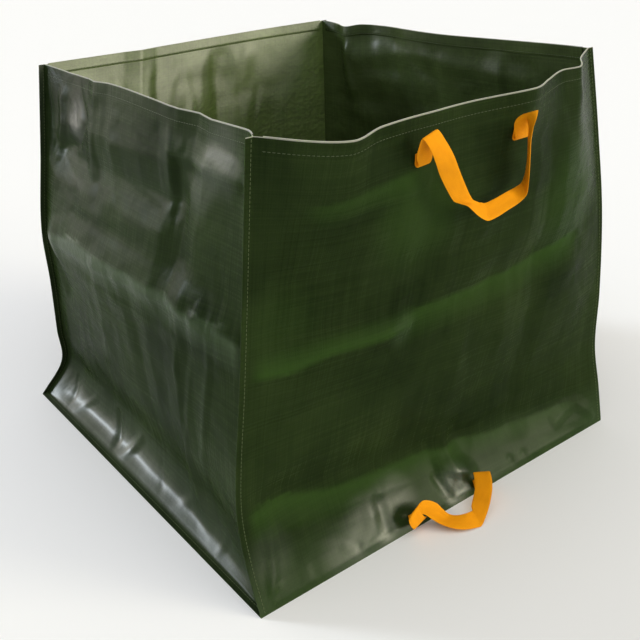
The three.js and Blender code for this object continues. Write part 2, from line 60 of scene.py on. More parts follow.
# places on a wall are shares along it and up it, the rest is in millimetres
# a fold or crease: a broken line, its ridge (valleys negative), its reach to the left and right of the line,
# and where a flank shows lit, how strongly, left positive
# litSpots and shiny: place, reach and amount; litSpots are painted light; pale is how strongly the inside is painted
# with the glow of light shining through the sheet, film the sheen all over
walls = {
    "front": {
        "start": "frontLeft", "end": "frontRight", "out": (0, -1, 0), "seed": 11, "handled": 90,
        "waves": [(90, .8), (38, .2)],
        "drop": [[0, 0], [.135, 11], [.21, 5], [.43, 5], [.58, 0], [1, 0]],
        "sections": [
            (.12, [[0, 0], [.25, -5], [.5, -12], [.75, -9], [1, 0]]),
            (.35, [[0, 0], [.25, 10], [.5, 16], [.86, 14], [1, 0]]),
            (.59, [[0, 0], [.25, 30], [.5, 44], [.81, 40], [1, 0]]),
            (.79, [[0, 0], [.12, 32], [.25, 54], [.5, 68], [.66, 72], [.81, 60], [1, 0]]),
            (1, [[0, 0], [.06, 38], [.135, 64], [.2, 63], [.32, 62], [.44, 65], [.58, 95], [.66, 80],
                [.75, 62], [.81, 66], [.89, 33], [1, 0]]),
        ],
        "folds": [
            (((0, .47), (.37, .53)), 7, 55, 55), (((.37, .53), (1, .61)), -6, 55, 55),
            (((0, .7), (.5, .66)), -4, 40, 40), (((.36, .53), (.35, .88)), -4, 40, 40),
            (((.51, .2), (.5, .7)), 4, 40, 40), (((.72, .1), (.7, .86)), -5, 40, 40),
            (((.02, .23), (.55, .14)), -8, 45, 45), (((.55, .14), (.98, .1)), -6, 40, 40),
            (((.53, .02), (.52, .13)), 9, 32, 32),
        ],
        "creases": [
            (((0, .508), (.083, .508), (.158, .522), (.29, .52), (.34, .522)), 4.5, 30, 12, 1),
            (((0, .662), (.075, .66), (.152, .662), (.233, .667), (.302, .67)), 1.6, 26, 12),
            (((.12, .873), (.16, .878), (.24, .883), (.285, .893)), 3.2, 30, 34, -1),
            (((.242, .885), (.295, .525)), -1.6, 20, 26),
            (((.34, .55), (.393, .557), (.497, .56), (.623, .568), (.725, .578), (.81, .59)), -4, 30, 44, -1),
            (((.403, .77), (.455, .5)), 2.2, 18, 30), (((.605, .573), (.628, .39)), 2.2, 18, 30),
            (((.5, .535), (.568, .24)), -2, 26, 26),
            (((0, .208), (.085, .203), (.203, .168), (.345, .147), (.448, .135), (.573, .118), (.688, .1),
             (.885, .092)), -4, 46, 50, -1),
            (((.005, .2), (.04, .2), (.052, .152), (.035, .06), (.01, .025)), 2.6, 12, 14),
            (((0, .11), (.01, .025)), -2.4, 10, 14), (((.312, .08), (.312, .005)), -3.4, 14, 20),
            (((.233, .03), (.233, .004)), -1.6, 8, 8), (((.285, .07), (.25, .02)), 1.6, 18, 22),
            (((.473, .072), (.485, .04), (.495, .012)), -3.5, 9, 12),
            (((.495, .088), (.57, .05), (.542, 0)), 4.2, 18, 12), (((.69, .03), (.69, .002)), -2, 8, 8),
            (((.733, .028), (.733, .002)), -2, 8, 8), (((.86, .06), (.932, .085), (.985, .03)), 2.5, 16, 14),
            (((.02, .013), (.18, .013), (.43, .015), (.69, .014), (.97, .012)), 1.5, 6, 5),
        ],
        "pale": .25, "film": 0, "sheen": .17, "footLit": .45, "flankLit": 1, "flankSheen": 0,
        "litSpots": [
            (.33, .79, 95, .4), (.81, .7, 125, .4), (.06, .6, 70, .15),
        ],
        "shiny": [
            (.2, .02, 50, .4), (.27, .04, 60, .55), (.34, .05, 60, .45), (.515, .04, 36, 1.3),
            (.04, .1, 45, .3), (.33, .52, 30, .15),
        ],
    },
    "rear": {
        "start": "rearLeft", "end": "rearRight", "out": (0, 1, 0), "seed": 23, "handled": 80,
        "waves": [(80, .7), (34, .2)],
        "drop": [[0, 0], [.4, 5], [1, 0]],
        "sections": [
            (.12, [[0, 0], [.5, -6], [1, 0]]),
            (.5, [[0, 0], [.3, 18], [.6, 28], [.8, 24], [1, 0]]),
            (.78, [[0, 0], [.25, 14], [.5, 30], [.75, 32], [1, 0]]),
            (1, [[0, 0], [.25, 14], [.5, 23], [.75, 18], [1, 0]]),
        ],
        "folds": [
            (((0, .55), (1, .52)), 6, 55, 55), (((.3, .2), (.31, 1)), -5, 40, 40),
            (((.62, .12), (.6, .9)), 5, 45, 45), (((.05, .2), (.95, .16)), -7, 45, 45),
        ],
        "creases": [
            (((.455, 1), (.492, .81), (.5, .6)), -1.2, 18, 30), (((.46, .88), (.65, .87)), 1.2, 22, 30),
            (((.578, 1), (.583, .88), (.6, .7)), 1.2, 20, 14),
            (((.205, .99), (.24, .9), (.23, .7)), 1.2, 16, 26),
            (((.36, 1), (.34, .9), (.35, .75)), -1.2, 16, 20), (((.1, .93), (.36, .9)), 1, 14, 24),
            (((.7, .95), (.72, .6)), -1.2, 24, 18), (((.6, .8), (.95, .83)), 1.2, 30, 20),
        ],
        "pale": 1, "film": 0, "sheen": .2, "footLit": .3, "flankLit": 1, "flankSheen": 0, "litSpots": [],
        "shiny": [],
    },
    "left": {
        "start": "frontLeft", "end": "rearLeft", "out": (-1, 0, 0), "seed": 37, "handled": 90,
        "waves": [(80, .7), (34, .2)],
        "drop": [[0, 0], [.24, 5], [.6, 0], [.85, 6], [1, 0]],
        "sections": [
            (.032, [[0, 0], [.1, -11], [.5, -17], [.85, -11], [1, 0]]),
            (.1, [[0, 0], [.15, -15], [.5, -18], [.85, -6], [1, 0]]),
            (.3, [[0, 0], [.25, -4], [.6, 2], [1, 0]]),
            (.56, [[0, 0], [.2, 8], [.6, 14], [1, 0]]),
            (1, [[0, 0], [.05, -12], [.25, -14], [.5, -11], [.7, -8], [.85, -14], [1, 0]]),
        ],
        "folds": [
            (((.03, .55), (.2, .59)), 6, 50, 50), (((.2, .59), (.95, .54)), 9, 60, 60),
            (((.26, .08), (.25, .6)), 6, 45, 45), (((.28, .6), (.24, 1)), -7, 45, 45),
            (((.3, .8), (.92, .79)), -6, 45, 45), (((.7, .82), (.68, 1)), 6, 40, 40),
        ],
        "creases": [
            (((.878, .99), (.915, .93), (.915, .86), (.94, .79)), 3.5, 14, 20),
            (((.79, .96), (.745, .89), (.8, .83), (.94, .79)), -3.5, 18, 14),
            (((1, .86), (.93, .79), (.815, .735), (.6, .758), (.33, .79)), -4, 40, 60, -.5),
            (((.34, 1), (.31, .79)), 3.5, 36, 14, .7), (((.7, .98), (.665, .72)), -2.5, 24, 30),
            (((.27, 1), (.2, .97), (.075, .945)), -3, 24, 16),
            (((.065, .897), (.16, .9), (.285, .9)), 4, 40, 14, .8),
            (((.285, .9), (.305, .805)), -3, 14, 30, -.6),
            (((1, .54), (.75, .593), (.593, .593), (.435, .6), (.25, .603), (.158, .593), (.115, .6),
             (.022, .578)), 5, 46, 34, 2.2),
            (((.86, .527), (.585, .548), (.34, .556), (.17, .575)), -3, 26, 30),
            (((.97, .5), (.895, .388)), -4, 20, 24), (((.16, .588), (.268, .128)), 3, 14, 30),
            (((.11, .56), (.185, .2)), 2.5, 40, 14, .7), (((.45, .56), (.42, .2)), -2.5, 34, 40),
            (((.62, .55), (.66, .15)), 2.2, 24, 40), (((.56, .07), (.6, .01)), 4, 12, 12),
            (((.68, .08), (.64, .01)), -4, 12, 10), (((.3, .06), (.36, .01)), 1.3, 9, 12),
            (((.45, .06), (.42, .01)), -1.2, 10, 9), (((.8, .07), (.86, .01)), 1.4, 9, 10),
            (((.15, .06), (.18, .01)), 1.3, 9, 9), (((.92, .08), (.89, .01)), -1.4, 9, 9),
        ],
        "pale": .25, "film": .05, "sheen": .45, "footLit": .1, "flankLit": .25, "flankSheen": .22,
        "litSpots": [],
        "shiny": [
            (.82, .88, 46, .45), (.13, .93, 62, .3), (.2, .86, 50, .22),
        ],
    },
    "right": {
        "start": "frontRight", "end": "rearRight", "out": (1, 0, 0), "seed": 41, "handled": 80,
        "waves": [(90, .8), (38, .2)],
        "drop": [[0, 0], [.4, 3], [.8, 0], [.86, 5], [1, 0]],
        "sections": [
            (.12, [[0, 0], [.3, -8], [.7, -12], [1, 0]]),
            (.5, [[0, 0], [.3, 4], [.6, 12], [1, 0]]),
            (1, [[0, 0], [.1, 5], [.3, 4], [.5, -4], [.76, 4], [.86, -14], [.92, 0], [1, 0]]),
        ],
        "folds": [
            (((0, .53), (1, .56)), 7, 55, 55), (((.3, .12), (.28, .9)), -5, 45, 45),
            (((.66, .15), (.68, .95)), 5, 45, 45), (((.4, .2), (.95, .14)), -6, 40, 40),
        ],
        "creases": [
            (((.915, 1), (.85, .963), (.875, .9), (.86, .8)), -5, 22, 16),
            (((.71, 1), (.8, .965), (.85, .963)), 4, 16, 24), (((.2, .9), (.6, .93), (.85, .9)), -2.5, 26, 26),
            (((.5, 1), (.52, .7)), 2.5, 30, 18), (((.3, .8), (.9, .76)), 2.6, 40, 24),
        ],
        "pale": .25, "film": 0, "sheen": .2, "footLit": .3, "flankLit": 1, "flankSheen": 0, "litSpots": [],
        "shiny": [],
    },
}
handling = {  # small creases and waves that use leaves in the sheet
    "skew": .18, "length": (.03, .2), "reach": (9, 34), "steep": (.02, .065), "uneven": (.4, 2),
    "waveSpan": 900,
}
flankLight = {"edge": 9, "fullRidge": 5}  # softness of a lit flank's edge, ridge that is fully lit


def lineThrough(rows, share, column=None):  # smooth line through rows of [share, value, ...]
    rows, share = np.asarray(rows, float), np.asarray(share, float)
    at, value = rows[:, 0], rows[:, 1:]
    last = len(rows) - 1
    before = np.maximum(np.arange(last + 1) - 1, 0)
    after = np.minimum(np.arange(last + 1) + 1, last)
    slope = (value[after] - value[before]) / (at[after] - at[before])[:, None]
    k = np.searchsorted(at[1:-1], share, side="left")
    span = at[k + 1] - at[k]
    t = (share - at[k]) / span
    if column is None:  # every value at each share, else each share reads the value in its own column
        column, span, t = slice(None), span[..., None], t[..., None]
    low = value[k, column]
    rise = value[k + 1, column] - low
    leave, arrive = slope[k, column] * span, slope[k + 1, column] * span
    return low + t * (leave + t * (3 * rise - 2 * leave - arrive + t * (leave + arrive - 2 * rise)))


def smoothStep(x, low, high):
    t = np.clip((np.asarray(x, float) - low) / (high - low), 0, 1)
    return t * t * (3 - 2 * t)


def seamPoints(corner, share):  # stitch line of a corner, on the middle of the body sheet
    signX, signY, rows = corners[corner]
    stand = lineThrough(rows, share)
    return np.stack([
        signX * (bag["width"] / 2 - bag["finWidth"] - stand[..., 0]),
        signY * (bag["depth"] / 2 - bag["fabric"] / 2 - stand[..., 1]),
        bag["fabric"] / 2 + np.asarray(share) * (bag["height"] - bag["fabric"] / 2) - stand[..., 2],
    ], -1)


def sewnPoints(corner, share):  # the same line one layer further in, for a panel that is sewn in
    share = np.asarray(share, float)
    signY = corners[corner][1]
    layer = bag["fabric"] + bag["layerGap"]
    point = seamPoints(corner, share)
    near = .035  # the lean is read between this share below and above
    below = seamPoints(corner, np.maximum(share - near, 0))
    above = seamPoints(corner, np.minimum(share + near, 1))
    lean = np.arctan2(signY * (below[..., 1] - above[..., 1]), above[..., 2] - below[..., 2])
    foot = share <= 0
    point[..., 1] -= signY * layer * np.where(foot, 1 / np.tan(math.pi / 4 - lean / 2), np.cos(lean))
    point[..., 2] += layer * np.where(foot, 1, -np.sin(lean))
    return point


def randomFolds(wall):
    rng = np.random.default_rng(wall["seed"])
    folds = []
    for _ in range(wall["handled"]):
        u, v = rng.random(2)
        angle = rng.choice([0, math.pi / 2, rng.uniform(0, math.pi)]) + rng.normal(0, handling["skew"])
        length = rng.uniform(*handling["length"])
        reach = rng.uniform(*handling["reach"])
        ridge = rng.choice([-1, 1]) * reach * rng.uniform(*handling["steep"])
        half = np.array([math.cos(angle), math.sin(angle)]) * length / 2
        line = ((u - half[0], v - half[1]), (u + half[0], v + half[1]))
        folds.append((line, ridge, reach, reach * rng.uniform(*handling["uneven"])))
    return folds


def foldHeights(folds, along, share):  # ridges with flat flanks along broken lines, and their lit flanks
    x, y = along * bag["width"], share * bag["height"]
    total = np.zeros(np.broadcast(x, y).shape)
    bright = np.zeros_like(total)
    for line, ridge, toLeft, toRight, *lit in folds:
        flank = np.zeros_like(total)
        tent = np.zeros_like(total)
        for (u0, v0), (u1, v1) in zip(line[:-1], line[1:]):
            x0, y0 = u0 * bag["width"], v0 * bag["height"]
            dx, dy = u1 * bag["width"] - x0, v1 * bag["height"] - y0
            t = np.clip(((x - x0) * dx + (y - y0) * dy) / (dx * dx + dy * dy), 0, 1)
            here = np.hypot(x - x0 - t * dx, y - y0 - t * dy)
            side = np.sign(dx * (y - y0) - dy * (x - x0))
            inReach = 1 - here / np.where(side > 0, toLeft, toRight)
            tent = np.maximum(tent, inReach)
            for amount in lit:
                onSide = np.clip(.5 + side * np.sign(amount) * here / flankLight["edge"], 0, 1)
                flank = np.maximum(flank, inReach * onSide * abs(amount))
        total += ridge * tent
        bright = np.maximum(bright, abs(ridge) / flankLight["fullRidge"] * flank)
    return total, bright


def ripple(wall, along, share):  # soft waves that are left in a sheet that was folded and pressed
    rng = np.random.default_rng(wall["seed"] + 500)
    fade = lambda s: s * s * s * (s * (s * 6 - 15) + 10)
    total = np.zeros(along.shape)
    for cell, height in wall["waves"]:
        cells = int(handling["waveSpan"] / cell) + 4
        values = rng.normal(0, height, (cells, cells))
        x, y = along * bag["width"] / cell + 1, share * bag["height"] / cell + 1
        i, j = x.astype(int), y.astype(int)
        s, t = fade(x - i), fade(y - j)
        low = values[i, j] * (1 - s) + values[i + 1, j] * s
        high = values[i, j + 1] * (1 - s) + values[i + 1, j + 1] * s
        total += low * (1 - t) + high * t
    return total


def freeOfSeams(along, share, seam, foot):
    return smoothStep(along, 0, seam) * smoothStep(1 - along, 0, seam) * smoothStep(share, 0, foot)


def wallPoints(wall, along, share, edge=seamPoints):  # middle of a wall's sheet, and its lit flanks
    along, share = np.broadcast_arrays(np.asarray(along, float), np.asarray(share, float))
    start, end = edge(wall["start"], share), edge(wall["end"], share)
    point = start + (end - start) * along[..., None]
    flat = along.ravel()
    levels = np.array([0] + [up for up, _ in wall["sections"]])
    heights = [np.zeros_like(flat)] + [lineThrough(line, flat)[:, 0] for _, line in wall["sections"]]
    rows = np.concatenate([levels[:, None], np.stack(heights)], 1)
    swell = lineThrough(rows, share.ravel(), np.arange(flat.size)).reshape(along.shape)
    hemFrom, hemFull, flattened = bag["hemHold"]
    broadFree = freeOfSeams(along, share, bag["seamHold"], bag["footHold"])
    creaseFree = freeOfSeams(along, share, bag["creaseHold"], bag["creaseHold"])
    creaseFree = creaseFree * (1 - flattened * smoothStep(share, hemFrom, hemFull))
    folds, _ = foldHeights(wall["folds"], along, share)
    crumple, bright = foldHeights(wall["creases"] + wall["small"], along, share)
    crumple = crumple + ripple(wall, along, share)
    point = point + np.asarray(wall["out"]) * (swell + folds * broadFree + crumple * creaseFree)[..., None]
    point[..., 2] -= lineThrough(wall["drop"], along)[..., 0] * smoothStep(share, bag["dropStart"], 1)
    return point, bright * creaseFree


for wall in walls.values():
    wall["small"] = randomFolds(wall)


def makeMesh(name, points, faces, finish, places, marks=None, sharp=None):
    mesh = bpy.data.meshes.new(name)
    mesh.from_pydata((points * mm).tolist(), [], faces)
    # the mark attribute carries rim whitening with painted highlight, painted light, painted glow and sheen
    kinds = (("cloth", places, "FLOAT_VECTOR", "vector"), ("whiteningPaintedLightSheen", marks, "FLOAT_COLOR", "color"))
    for label, rows, kind, field in kinds:
        if rows is not None:
            layer = mesh.attributes.new(label, kind, "POINT")
            layer.data.foreach_set(field, np.ascontiguousarray(rows, dtype=np.float32).ravel())
    mesh.polygons.foreach_set("use_smooth", np.ones(len(faces), dtype=bool))
    if sharp:
        mesh.set_sharp_from_angle(angle=math.radians(sharp))
    mesh.materials.append(finish)
    piece = bpy.data.objects.new(name, mesh)
    bpy.context.scene.collection.objects.link(piece)
    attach(piece, "root")
    return piece


class Cloth:  # points and four-sided faces of a sheet's middle, given its thickness at the end
    def __init__(self):
        self.points, self.places, self.marks, self.quads = [], [], [], []
        self.count = 0

    def add(self, points, places, marks):
        shape = points.shape[:-1]
        self.points.append(points.reshape(-1, 3))
        self.places.append(np.broadcast_to(places, points.shape).reshape(-1, 3))
        self.marks.append(np.broadcast_to(marks, shape + (5,)).reshape(-1, 5))
        index = np.arange(self.count, self.count + int(np.prod(shape))).reshape(shape)
        self.count += index.size
        return index

    def patch(self, index, flip=False):
        a, b, c, d = index[:-1, :-1], index[:-1, 1:], index[1:, 1:], index[1:, :-1]
        quads = np.stack([a, b, c, d] if not flip else [a, d, c, b], -1)
        self.quads.append(quads.reshape(-1, 4))

    def solid(self, name, finish):
        points, quads = np.concatenate(self.points), np.concatenate(self.quads)
        a, b, c, d = (points[quads[:, k]] for k in range(4))
        faceNormal = np.cross(c - a, d - b)
        normal = np.zeros_like(points)
        for k in range(4):
            np.add.at(normal, quads[:, k], faceNormal)
        normal /= np.linalg.norm(normal, axis=1)[:, None]
        self.normal = normal
        half = bag["fabric"] / 2
        self.outer, self.inner = points + normal * half, points - normal * half
        start, end = quads.ravel(), np.roll(quads, -1, axis=1).ravel()
        free = ~np.isin(start * self.count + end, end * self.count + start)
        start, end = start[free], end[free]
        edge = np.stack([end, start, start + self.count, end + self.count], 1)
        faces = np.concatenate([quads, quads[:, ::-1] + self.count, edge])
        # the pale columns paint the glow of light through the sheet onto the inside faces and the turned-in hem
        rim, lit, paintedGlowOut, paintedGlowIn, sheen = np.concatenate(self.marks).T
        outside = np.stack([rim, lit, paintedGlowOut, np.maximum(sheen, paintedGlowOut)], 1)
        inside = np.stack([rim, lit, paintedGlowIn, paintedGlowIn], 1)
        return makeMesh(name, np.concatenate([self.outer, self.inner]), faces.tolist(), finish,
                        np.concatenate(self.places * 2), np.concatenate([outside, inside]), 50)


class Val:  # a shader socket that can stand in a sum
    def __init__(self, tree, socket):
        self.tree, self.socket = tree, socket

    def maths(self, operation, other=0.0):
        node = self.tree.nodes.new("ShaderNodeMath")
        node.operation = operation
        for k, term in enumerate((self, other)):
            if isinstance(term, Val):
                self.tree.links.new(term.socket, node.inputs[k])
            else:
                node.inputs[k].default_value = term
        return Val(self.tree, node.outputs[0])

    def limited(self): return self.maths("MAXIMUM", 0.0).maths("MINIMUM", 1.0)
    def hump(self): return (self * math.pi).maths("SINE")
    def __add__(self, other): return self.maths("ADD", other)
    def __radd__(self, other): return self.maths("ADD", other)
    def __sub__(self, other): return self.maths("SUBTRACT", other)
    def __mul__(self, other): return self.maths("MULTIPLY", other)
    def __truediv__(self, other): return self.maths("DIVIDE", other)


class Finish:  # a material and its nodes
    def __init__(self, name):
        self.material = bpy.data.materials.new(name)
        self.material.use_nodes = True
        self.tree = self.material.node_tree
        self.shader = next(n for n in self.tree.nodes if n.type == "BSDF_PRINCIPLED")

    def node(self, kind, settings=None, sockets=None):
        node = self.tree.nodes.new(kind)
        for key, value in (settings or {}).items():
            setattr(node, key, value)
        for key, value in (sockets or {}).items():
            self.feed(node.inputs[key], value)
        return [Val(self.tree, socket) for socket in node.outputs]

    def feed(self, socket, value):
        if isinstance(value, Val):
            self.tree.links.new(value.socket, socket)
        else:
            socket.default_value = value

    def place(self, label):  # an attribute as a vector, and its alpha
        _, vector, _, alpha = self.node("ShaderNodeAttribute", {"attribute_name": label})
        return vector, alpha

    def split(self, vector):
        return self.node("ShaderNodeSeparateXYZ", None, {0: vector})

    def spread(self, vector, cells):
        return self.node("ShaderNodeVectorMath", {"operation": "MULTIPLY"}, {0: vector, 1: cells})[0]

    def noise(self, vector, cells, detail=2.0, rough=.5):
        at = self.spread(vector, cells)
        sockets = {"Vector": at, "Scale": 1.0, "Detail": detail, "Roughness": rough}
        return self.node("ShaderNodeTexNoise", None, sockets)[0]

    def wander(self, vector, cells, reach):  # places shifted about, so that straight edges run unevenly
        shift = self.node("ShaderNodeTexNoise", None, {"Vector": vector, "Scale": cells, "Detail": 1.0})[1]
        return self.node("ShaderNodeVectorMath", {"operation": "MULTIPLY_ADD"},
                         {0: shift, 1: (reach, reach, 0), 2: vector})[0]

    def facets(self, vector, cells):  # flat-sided dents, as creased sheet has
        settings = {"distance": "CHEBYCHEV", "voronoi_dimensions": "2D"}
        sockets = {"Vector": self.spread(vector, cells), "Scale": 1.0}
        return self.node("ShaderNodeTexVoronoi", settings, sockets)[0]

    def blend(self, share, first, second):
        return self.node("ShaderNodeMix", {"data_type": "RGBA"}, {0: share, 6: first, 7: second})[2]

    def bump(self, height, depth):
        return self.node("ShaderNodeBump", None, {"Strength": 1.0, "Distance": depth, "Height": height})[0]

    def look(self, **sockets):
        for key, value in sockets.items():
            self.feed(self.shader.inputs[key.replace("_", " ")], value)
        return self.material


sheetLook = {
    "tape": .0025,  # width of a woven tape, metres
    # inside: a painted glow of light shining through the sheet, not the sheet's own colour
    "deep": (.007, .013, .004, 1), "pale": (.025, .041, .012, 1), "inside": (.125, .180, .044, 1),
    # lit: painted light, the lighter green of lit fold flanks, of the foot that faces up and of lit spots
    "rim": (.66, .66, .56, 1), "lit": (.034, .076, .014, 1),
    "paintedGlowShare": .35, "paintedGlowTone": .5, "litShare": .7, "rimShare": .7,  # how far those colours come through
    "patchTone": 2, "streakTone": .55,
    "roughness": .26, "patchRough": .14, "streakRough": .1, "litRough": .08,
    "specular": .009, "through": .25, "throughRadius": (.6, 1, .3),
    "streak": 410, "streakLong": 4, "patch": (5, 5, 5), "crumple": (38, 46, 20),  # cells per metre
    "facet": (30, 36, 1), "wide": (9, 12, 1), "crinkle": (95, 120, 1), "wander": 22.0, "wanderReach": .02,
    "weaveDepth": .08, "streakDepth": .08, "crumpleDepth": .12,  # millimetres
    "facetDepth": .9, "wideDepth": 1.4, "crinkleDepth": 1.6,
    "sheenRoughness": .34, "sheenLeast": .4, "sheenPatch": 1.2,  # sheen of the coating
    "footBand": 60, "footRise": 1.3,  # it is strongest in a band by the foot, millimetres
    # rimMark: pale line on the rim fold, part whitening of the folded coating, part painted highlight
    "rimFrom": .9985, "rimMark": .9, "spotEdge": .7,
}


def sheetFinish():
    made = Finish("coatedSheet")
    cloth, _ = made.place("cloth")
    # marks: rim whitening with painted highlight, painted light, painted glow; alpha is the sheen
    marks, sheen = made.place("whiteningPaintedLightSheen")
    rim, lit, inside = made.split(marks)
    u, v, _ = made.split(cloth)
    x, y = u / sheetLook["tape"], v / sheetLook["tape"]
    column, row = x.maths("FLOOR"), y.maths("FLOOR")
    humpX, humpY = (x - column).hump(), (y - row).hump()
    over = (column + row).maths("FLOORED_MODULO", 2.0)
    weave = humpX + over * (humpY - humpX)
    fine, long = sheetLook["streak"], sheetLook["streakLong"]
    streak = made.noise(cloth, (fine, long, 1), 1.0) + made.noise(cloth, (long, fine, 1), 1.0) - 1
    patch = made.noise(cloth, sheetLook["patch"], 4.0, .6)
    crumple = made.noise(cloth, sheetLook["crumple"], 3.0, .55)
    uneven = made.wander(cloth, sheetLook["wander"], sheetLook["wanderReach"])
    tone = (patch * sheetLook["patchTone"] - .5 + streak * sheetLook["streakTone"]).limited()
    colour = made.blend(tone, sheetLook["deep"], sheetLook["pale"])
    # painted glow of light shining through the sheet, strongest on the rear wall's inside
    through = inside * (sheetLook["paintedGlowShare"] + tone * sheetLook["paintedGlowTone"])
    colour = made.blend(through, colour, sheetLook["inside"])
    # painted light on lit fold flanks, the upward-facing foot and lit spots
    colour = made.blend(lit * sheetLook["litShare"], colour, sheetLook["lit"])
    # rim line: whitening of the folded coating, and a painted highlight on the fold
    colour = made.blend(rim * sheetLook["rimShare"], colour, sheetLook["rim"])
    height = weave * sheetLook["weaveDepth"] + streak * sheetLook["streakDepth"]
    height = height + crumple * sheetLook["crumpleDepth"]
    for name in ("facet", "wide"):
        height = height + made.facets(uneven, sheetLook[name]) * sheetLook[name + "Depth"]
    height = height + made.facets(uneven, sheetLook["crinkle"]) * sheen * sheetLook["crinkleDepth"]
    rough = sheetLook["roughness"] + (patch - .5) * sheetLook["patchRough"]
    return made.look(
        Base_Color=colour,
        Roughness=rough + streak * sheetLook["streakRough"] + lit * sheetLook["litRough"],
        Specular_IOR_Level=sheetLook["specular"],
        Subsurface_Weight=sheetLook["through"], Subsurface_Radius=sheetLook["throughRadius"], Subsurface_Scale=mm,
        Coat_Weight=sheen * (sheetLook["sheenLeast"] + patch * sheetLook["sheenPatch"]),
        Coat_Roughness=sheetLook["sheenRoughness"],
        Normal=made.bump(height, mm),
    )


webLook = {
    "rib": .0016, "yarn": .0011, "patch": (120, 60, 1),  # widths in metres, cells per metre
    "lit": (.95, .37, .004, 1), "dim": (.72, .24, .002, 1),
    "ribTone": .45, "yarnTone": .2, "patchTone": .7, "toneShift": .2,
    "roughness": .72, "patchRough": .15, "specular": .1, "ribDepth": .22, "yarnDepth": .08,
}


def webFinish():
    made = Finish("orangeWebbing")
    cloth, _ = made.place("cloth")
    u, v, _ = made.split(cloth)
    rib = ((u.maths("ABSOLUTE") + v) / webLook["rib"]).hump().maths("ABSOLUTE")
    yarn = (u / webLook["yarn"]).hump().maths("ABSOLUTE")
    patch = made.noise(cloth, webLook["patch"], 3.0)
    tone = rib * webLook["ribTone"] + yarn * webLook["yarnTone"] + patch * webLook["patchTone"]
    return made.look(
        Base_Color=made.blend((tone - webLook["toneShift"]).limited(), webLook["dim"], webLook["lit"]),
        Roughness=webLook["roughness"] + (patch - .5) * webLook["patchRough"],
        Specular_IOR_Level=webLook["specular"],
        Normal=made.bump(rib * webLook["ribDepth"] + yarn * webLook["yarnDepth"], mm),
    )


threadLook = {
    "seamThread": {"lit": (.12, .16, .055, 1), "dim": (.05, .07, .025, 1)},
    "hemThread": {"lit": (.075, .10, .04, 1), "dim": (.035, .05, .018, 1)},
    "twist": (900, 300, 300), "roughness": .6, "twistRough": .1,
}


def threadFinish(name):
    made = Finish(name)
    twist = made.noise(made.place("cloth")[0], threadLook["twist"], 1.0)
    return made.look(
        Base_Color=made.blend(twist, threadLook[name]["dim"], threadLook[name]["lit"]),
        Roughness=threadLook["roughness"] + (twist - .5) * threadLook["twistRough"],
    )


sheetMaterial, webMaterial = sheetFinish(), webFinish()
seamThread, hemThread = threadFinish("seamThread"), threadFinish("hemThread")
print("finishes made")

grid = {
    "bodyColumns": 170, "frontRows": 110, "rearRows": 62, "baseRows": 24, "crowding": .4,
    "leftColumns": 180, "leftRows": 130, "rightColumns": 120, "rightRows": 90,
    "footTop": .14, "frontFoot": 34, "rearFoot": 16, "leftFoot": 34, "rightFoot": 34,  # closer rows by the foot
    "hemTurn": 6, "rimEdge": .998,
    "hemInset": 3,  # columns by which a hem stops short of the seams
}
clothStart = {"rear": -.72, "left": 1.3, "right": 2.2, "hem": 3, "hemStep": .003}  # places on the flat cloth, metres
inHem = slice(grid["hemInset"], -grid["hemInset"])
stitchPaths = {"seam": [], "hem": []}


def columnsOf(count):
    even = np.linspace(0, 1, count + 1)
    return even + (.5 - .5 * np.cos(math.pi * even) - even) * grid["crowding"]


def levelsOf(side):
    stitchLevel = 1 - bag["hemStitch"] / bag["height"]
    return np.concatenate([
        np.linspace(0, grid["footTop"], grid[side + "Foot"], endpoint=False),
        np.linspace(grid["footTop"], stitchLevel, grid[side + "Rows"]),
        np.linspace(stitchLevel, grid["rimEdge"], grid["hemTurn"])[1:], [1],
    ])


def stitchRow(share):
    return int(np.argmin(abs(share - (1 - bag["hemStitch"] / bag["height"]))))


def gridNormals(points, out):
    across = np.gradient(points, axis=1)
    rise = np.gradient(points, axis=0)
    normal = np.cross(across, rise)
    normal /= np.linalg.norm(normal, axis=-1)[..., None]
    facing = np.sign((normal * np.asarray(out)).sum(-1))[..., None]
    return normal * facing


def hemRows(wall, points, share):  # rim turned over and down inside, from the rim row
    normal = gridNormals(points, wall["out"])
    rim, rimNormal = points[-1], normal[-1]
    gap = bag["hemGap"]
    rows = []
    for turn in np.linspace(0, math.pi, grid["hemTurn"])[1:]:
        over = np.array([0, 0, gap / 2 * math.sin(turn)])
        rows.append(rim - rimNormal * gap / 2 * (1 - math.cos(turn)) + over)
    for k in range(len(share) - 2, -1, -1):
        if (1 - share[k]) * bag["height"] > bag["hemWidth"]:
            break
        rows.append(points[k] - normal[k] * gap)
    down = np.array([0, 0, bag["hemWidth"] - bag["hemStitch"]])
    rows.append(rows[-1] - down + normal[k] * gap * bag["hemSpring"])
    return np.stack(rows)


def clothPlaces(shape, along, width, offset, up):  # place on the flat cloth, metres
    places = np.zeros(shape)
    places[..., 0] = along * width * mm + offset
    places[..., 1] = up
    return places


